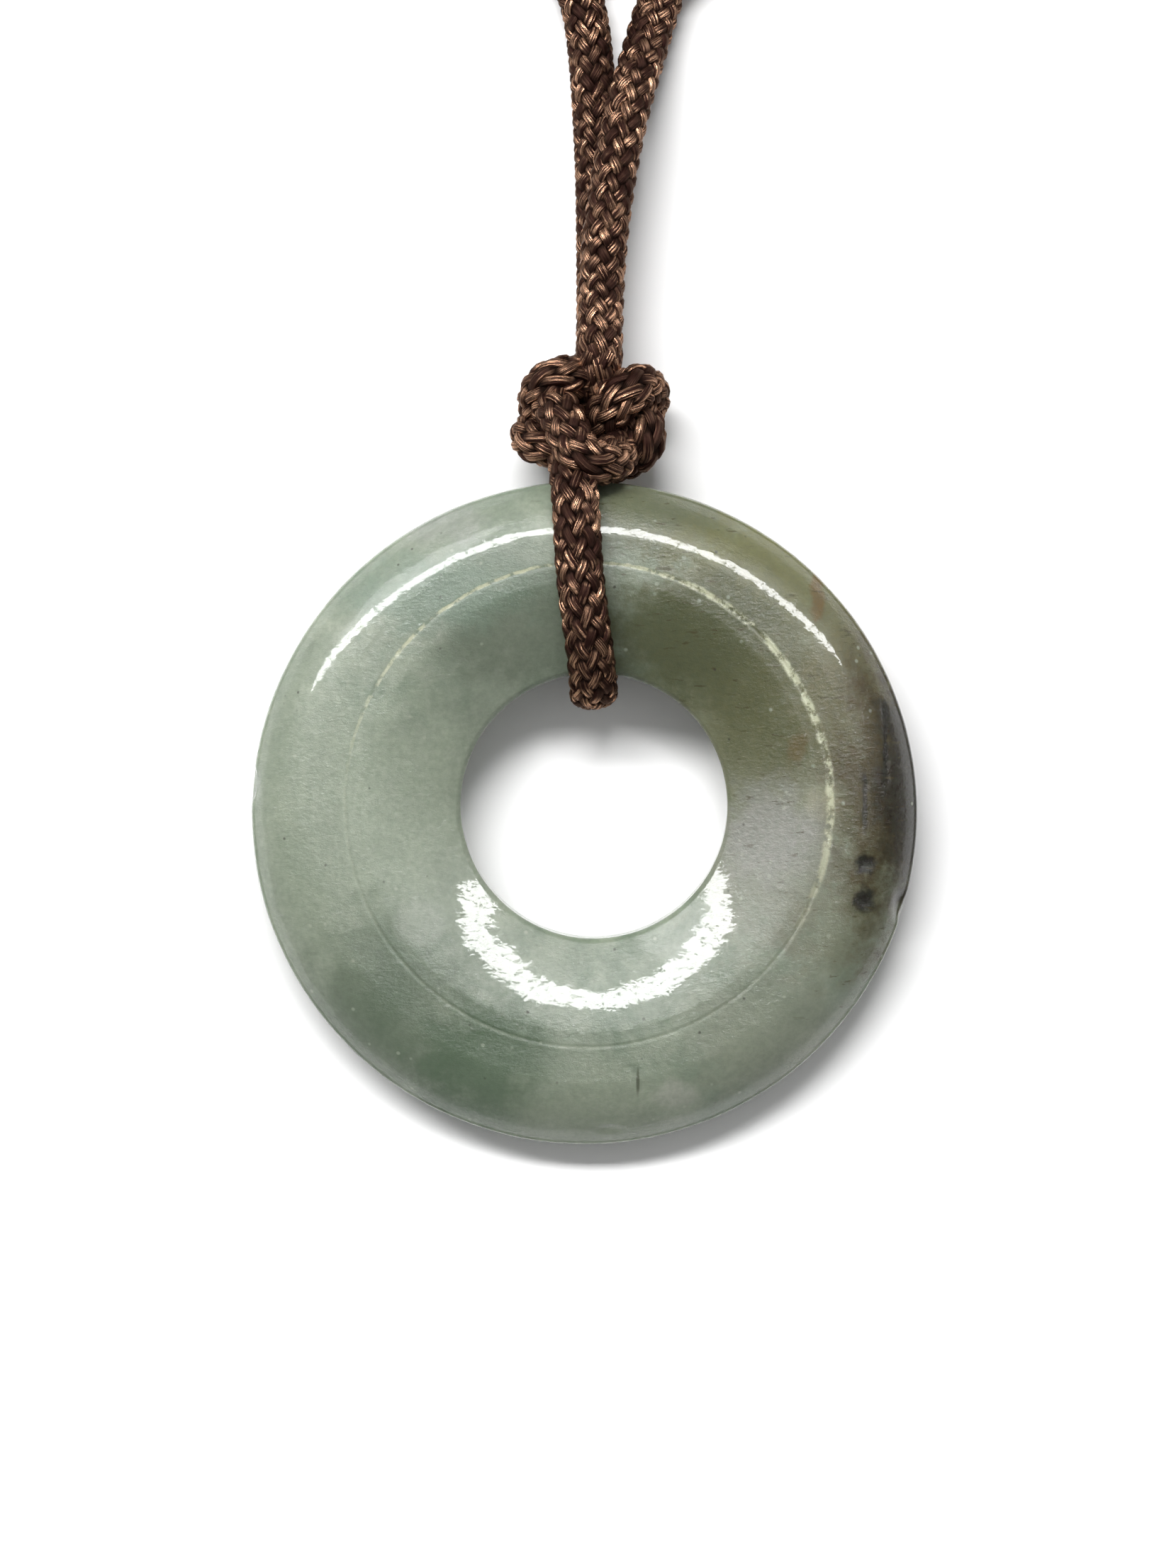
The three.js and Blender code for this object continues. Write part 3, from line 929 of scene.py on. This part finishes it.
@dataclass
class JadeRing:
    """The ring of jade, thicker at its flat crown than at its rim and its off-centre hole.

    Args:
        finish: The stone's finish.
        rim_radius: The ring's outer radius.
        hole_radius: The hole's radius.
        rim_half: Half the thickness at the rim.
        rim_round: How far the rim's round edge stands out.
        shoulder: The radius and height at which the outer slope starts.
        shoulder_bulge: The radius and height that the outer slope is drawn to.
        crown_height: The height of the crown above the ring's middle plane.
        inner_edge: The radius and height at which the slope to the hole starts.
        inner_bulge: The radius and height that the slope to the hole is drawn to.
        hole_half: Half the thickness at the hole.
        crease: The radius, half width and depth of the fine crease on the crown.
        hole_offset: How far the hole's middle is from the rim's.
        crease_offset: How far the crease's middle is from the rim's.
        tilt: How far the ring leans, with its top edge up.
        waviness: How far the surface waves in and out, in all.
        wave_size: The size of those waves.
        steps_round: The number of sides round the ring.
        marks: The pits, scratches and chips.
    """

    finish: JadeFinish
    rim_radius: float = 21 * MM
    hole_radius: float = 8.4 * MM
    rim_half: float = 0.6 * MM
    rim_round: float = 0.2 * MM
    shoulder: Pair = (17.1 * MM, 2.66 * MM)
    shoulder_bulge: Pair = (19.36 * MM, 2.41 * MM)
    crown_height: float = 2.74 * MM
    inner_edge: Pair = (14.2 * MM, 2.72 * MM)
    inner_bulge: Pair = (11.9 * MM, 2.42 * MM)
    hole_half: float = 0.7 * MM
    crease: tuple[float, float, float] = (15.15 * MM, 0.12 * MM, 0.03 * MM)
    hole_offset: Pair = (0.6 * MM, 0.62 * MM)
    crease_offset: Pair = (0.2 * MM, 0.8 * MM)
    tilt: float = math.radians(5)
    waviness: float = 0.10 * MM
    wave_size: float = 5 * MM
    steps_round: int = 420
    marks: tuple[Mark, ...] = (
        Mark((17.57, -2.99), (17.57, -2.99), 0.45, 0.12),
        Mark((17.57, -5.3), (17.57, -5.3), 0.42, 0.12),
        Mark((17.9, -5.3), (19.9, -5), 0.10, 0.05),
        Mark((19.9, -5.3), (19.9, -6.2), 0.40, 0.22),
        Mark((-20.9, 1.4), (-20.9, 2.5), 0.35, 0.22),
        Mark((2.95, -15.8), (3.75, -17.4), 0.13, 0.10),
        Mark((1.25, -19.8), (2.1, -19.9), 0.16, 0.10),
        Mark((18.9, 2), (18.7, 6.9), 0.12, 0.09),
        Mark((17.4, -1), (17.5, 2), 0.12, 0.08),
    )

    NODES = ("jade_disc",)
    SLOPE_STEPS = 22
    CROWN_STEPS = 64
    EDGE_STEPS = 5
    WELD = 1e-7
    INPUTS = {
        "Steps Round": "Int", "Rows": "Int", "Rim Radius": "Float", "Crease Radius": "Float",
        "Hole Radius": "Float", "Hole Offset": "Vector", "Crease Offset": "Vector", "Tilt": "Float",
        "Lift": "Float", "Waviness": "Float", "Wave Size": "Float", "Material": "Material",
    }

    @staticmethod
    def bend(start: Pair, pull: Pair, end: Pair, steps: int) -> np.ndarray:
        """Draws a quadratic curve from start to end, pulled towards a third point."""
        t = np.linspace(0, 1, steps + 1)[:, None]
        return (1 - t) ** 2 * np.array(start) + 2 * t * (1 - t) * np.array(pull) + t**2 * np.array(end)

    def face(self, creased: bool) -> np.ndarray:
        """Draws one face of the ring's section, from the rim to the hole.

        Args:
            creased: Whether the crown has its crease.

        Returns:
            The radius and height of each point.
        """
        rim = (self.rim_radius - self.rim_round, self.rim_half)
        outer = self.bend(rim, self.shoulder_bulge, self.shoulder, self.SLOPE_STEPS)
        radius = np.linspace(self.shoulder[0], self.inner_edge[0], self.CROWN_STEPS + 1)[1:-1]
        ends = (self.inner_edge[0], self.crease[0], self.shoulder[0])
        line = np.interp(radius, ends, (self.inner_edge[1], self.crown_height, self.shoulder[1]))
        middle, width, depth = self.crease
        dip = depth * np.exp(-(((radius - middle) / width) ** 2)) if creased else 0
        hole = (self.hole_radius, self.hole_half)
        inner = self.bend(self.inner_edge, self.inner_bulge, hole, self.SLOPE_STEPS)
        return np.vstack([outer, np.stack([radius, line - dip], axis=1), inner])

    def section(self) -> np.ndarray:
        """Draws the ring's whole section as a closed round of points.

        Returns:
            The radius and height of each point.
        """
        top, below = self.face(True), self.face(False) * (1, -1)
        wall = np.linspace(self.hole_half, -self.hole_half, self.EDGE_STEPS + 1)[1:-1]
        angle = np.linspace(-math.pi / 2, math.pi / 2, 2 * self.EDGE_STEPS + 1)[1:-1]
        reach = self.rim_radius - self.rim_round * (1 - np.cos(angle))
        rim = np.stack([reach, self.rim_half * np.sin(angle)], axis=1)
        hole = np.stack([np.full_like(wall, self.hole_radius), wall], axis=1)
        return np.vstack([top, hole, below[::-1], rim])

    def tree(self) -> bpy.types.NodeTree:
        """Builds the Geometry Nodes tree that turns the section round into the leaning ring.

        Returns:
            The tree.
        """
        nodes, given, result = new_geometry_tree("turned_ring", self.INPUTS)
        value = given.outputs
        grid = nodes.add("GeometryNodeMeshGrid", {
            "Size X": 1.0, "Size Y": 1.0, "Vertices X": nodes.maths("ADD", value["Steps Round"], 1.0),
            "Vertices Y": nodes.maths("ADD", value["Rows"], 1.0),
        })
        spread = nodes.add("ShaderNodeSeparateXYZ", {0: grid.outputs["UV Map"]}).outputs
        row = nodes.maths("ROUND", nodes.times(spread["Y"], value["Rows"]))
        row = nodes.maths("MODULO", row, value["Rows"])
        place = nodes.out("GeometryNodeInputPosition")
        sample = nodes.add("GeometryNodeSampleIndex", {"Geometry": value["Geometry"], "Index": row},
                           data_type="FLOAT_VECTOR")
        nodes.feed(sample.inputs["Value"], place)
        point = nodes.add("ShaderNodeSeparateXYZ", {0: sample.outputs[0]}).outputs
        radius, angle = point["X"], nodes.times(spread["X"], math.tau)
        turned = nodes.combined(nodes.times(radius, nodes.maths("COSINE", angle)),
                                nodes.times(radius, nodes.maths("SINE", angle)), point["Z"])
        crease = value["Crease Radius"]
        outer = nodes.ranged(radius, crease, value["Rim Radius"], 1, 0, kind="LINEAR")
        inner = nodes.ranged(radius, value["Hole Radius"], crease, 1, 0, kind="LINEAR")
        apart = nodes.vectors("SUBTRACT", value["Hole Offset"], value["Crease Offset"])
        shift = nodes.vectors("ADD", nodes.scaled(value["Crease Offset"], outer), nodes.scaled(apart, inner))
        shifted = {"Vector": nodes.vectors("ADD", turned, shift), "Angle": value["Tilt"]}
        leaning = nodes.out("ShaderNodeVectorRotate", shifted, rotation_type="X_AXIS")
        lifted = nodes.vectors("ADD", leaning, nodes.combined(0.0, 0.0, value["Lift"]))
        shaped = nodes.out("GeometryNodeSetPosition", {"Geometry": grid.outputs[0], "Position": lifted})
        closed = nodes.out("GeometryNodeMergeByDistance", {"Geometry": shaped, "Distance": self.WELD})
        waves = nodes.noise(place, nodes.maths("DIVIDE", 1.0, value["Wave Size"]), detail=2)
        ripple = nodes.times(nodes.minus(waves, 0.5), value["Waviness"])
        offset = nodes.scaled(nodes.out("GeometryNodeInputNormal"), ripple)
        waved = nodes.out("GeometryNodeSetPosition", {"Geometry": closed, "Offset": offset})
        end_tree(nodes, waved, value["Material"], result)
        return nodes.tree

    def lift(self, section: np.ndarray) -> float:
        """Gives how high the ring's middle is when its lowest edge is on the ground."""
        sine, cosine = math.sin(self.tilt), math.cos(self.tilt)
        return float(max(section[:, 0] * sine - section[:, 1] * cosine))

    def worn(self, mesh: Mesh) -> None:
        """Presses the pits, scratches and chips into the ring's upper side.

        Args:
            mesh: The ring's mesh, which is changed.
        """
        count = len(mesh.vertices)
        places, normals = np.zeros(count * 3), np.zeros(count * 3)
        mesh.vertices.foreach_get("co", places)
        mesh.vertices.foreach_get("normal", normals)
        places, normals = places.reshape(-1, 3), normals.reshape(-1, 3)
        upper = np.clip(normals[:, 2] * 4 + 0.5, 0, 1)
        dip = np.max([mark.dip(places[:, :2]) for mark in self.marks], axis=0) * upper
        mesh.vertices.foreach_set("co", (places - normals * dip[:, None]).ravel())
        mesh.update()

    def build(self) -> Piece:
        """Turns, lifts and wears the ring.

        Returns:
            The ring's object.
        """
        section = self.section()
        host = bpy.data.meshes.new("section")
        host.from_pydata([(radius, 0, height) for radius, height in section], [], [])
        values = {
            "Steps Round": self.steps_round, "Rows": len(section), "Rim Radius": self.rim_radius,
            "Crease Radius": self.crease[0], "Hole Radius": self.hole_radius,
            "Hole Offset": (*self.hole_offset, 0.0), "Crease Offset": (*self.crease_offset, 0.0),
            "Tilt": self.tilt, "Lift": self.lift(section), "Waviness": self.waviness,
            "Wave Size": self.wave_size, "Material": self.finish.material(),
        }
        mesh = grown(host, self.tree(), values)
        self.worn(mesh)
        return object_from("jade_ring", [mesh])


class Duty(Enum):
    """What a lamp is for."""

    GLEAM = "reflections"
    GLOW = "even light"


@dataclass(frozen=True)
class Lamp:
    """A flat soft lamp that shines straight down.

    Args:
        name: Its name.
        place: Where its middle is.
        size: Its width and height.
        power: Its power in watts.
        duty: What it is for.
    """

    name: str
    place: Point
    size: Pair
    power: float
    duty: Duty

    def hang(self) -> None:
        """Puts the lamp in the scene."""
        data = bpy.data.lights.new(self.name, "AREA")
        data.shape = "RECTANGLE"
        data.size, data.size_y = self.size
        data.energy = self.power
        lamp = added(self.name, data)
        lamp.location = self.place
        lamp.visible_glossy = self.duty is Duty.GLEAM
        lamp.visible_diffuse = self.duty is Duty.GLOW


@dataclass
class Studio:
    """The pale floor, the soft light and the camera that looks straight down.

    Args:
        floor_size: The floor's width.
        floor_colour: The floor's colour.
        camera_height: The camera's height above the ground.
        camera_aim: The x and y that it looks at.
        lens: Its focal length in millimetres.
        lamps: The lamps.
        sky: The strength of the light from all round.
    """

    floor_size: float = 3.0
    floor_colour: Colour = (0.93, 0.93, 0.93)
    camera_height: float = 234 * MM
    camera_aim: Pair = (0.22 * MM, 1.97 * MM)
    lens: float = 83.6
    lamps: tuple[Lamp, ...] = (
        Lamp("window", (-0.095, 0.232, 0.60), (1.30, 0.115), 13.0, Duty.GLEAM),
        Lamp("side_window", (-0.45, 0.42, 0.60), (0.50, 0.36), 3.2, Duty.GLEAM),
        Lamp("key", (-0.20, 0.38, 0.60), (0.62, 0.15), 9.2, Duty.GLOW),
        Lamp("fill", (0.0, 0.0, 0.80), (1.6, 1.6), 2.4, Duty.GLOW),
    )
    sky: float = 0.16

    def floor(self) -> None:
        """Makes the floor."""
        half = self.floor_size / 2
        mesh = bpy.data.meshes.new("floor")
        corners = [(-half, -half, 0), (half, -half, 0), (half, half, 0), (-half, half, 0)]
        mesh.from_pydata(corners, [], [(0, 1, 2, 3)])
        floor = added("floor", mesh)
        material, nodes, shader = new_material("white_paper")
        place = nodes.add("ShaderNodeTexCoord").outputs["Object"]
        nodes.fill(shader, {
            "Base Color": opaque(self.floor_colour), "Roughness": 0.9, "Specular IOR Level": 0.1,
            "Normal": nodes.bumped(nodes.noise(place, 900.0, detail=4), 0.15, 0.05 * MM),
        })
        mesh.materials.append(material)

    def light(self) -> None:
        """Hangs the lamps and sets the light from all round and how the picture is shown."""
        for lamp in self.lamps:
            lamp.hang()
        world = bpy.data.worlds.new("sky")
        world.use_nodes = True
        sky = world.node_tree.nodes["Background"].inputs
        sky["Color"].default_value = (1, 1, 1, 1)
        sky["Strength"].default_value = self.sky
        bpy.context.scene.world = world
        bpy.context.scene.view_settings.view_transform = "Standard"

    def camera(self) -> None:
        """Sets the camera, which looks straight down."""
        data = bpy.data.cameras.new("camera")
        data.lens = self.lens
        data.clip_start, data.clip_end = 0.01, 10
        camera = added("camera", data)
        camera.location = (*self.camera_aim, self.camera_height)
        bpy.context.scene.camera = camera


def place(piece: Piece, nodes: tuple[str, ...], slot: str) -> None:
    """Puts a piece on the body, in the place of its solids, and reports it.

    Args:
        piece: The piece.
        nodes: The solids that it stands for.
        slot: The slot of its finish. It is not used.
    """
    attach(piece, BODY)
    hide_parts(*nodes)
    piece.data.calc_loop_triangles()
    log.info("%s: %d triangles", piece.name, len(piece.data.loop_triangles))


def main() -> None:
    """Builds the pendant, its light and its camera."""
    logging.basicConfig(level=logging.INFO, format="%(message)s")
    studio = Studio()
    studio.camera()
    yarn = YarnFinish().material()
    necklace = Necklace(Braid(yarn))
    knot = ButtonKnot(Braid(yarn))
    bail = Bail(Braid(yarn, lay=390.0, core_radius=0.7 * MM))
    ring = JadeRing(JadeFinish())
    cord, tied, loop, stone = necklace.build(), knot.build(), bail.build(), ring.build()
    for piece, builder in ((cord, necklace), (tied, knot), (loop, bail)):
        place(piece, builder.NODES, "cord")
    place(stone, ring.NODES, "jade")
    studio.floor()
    studio.light()


if __name__ == "__main__":
    main()
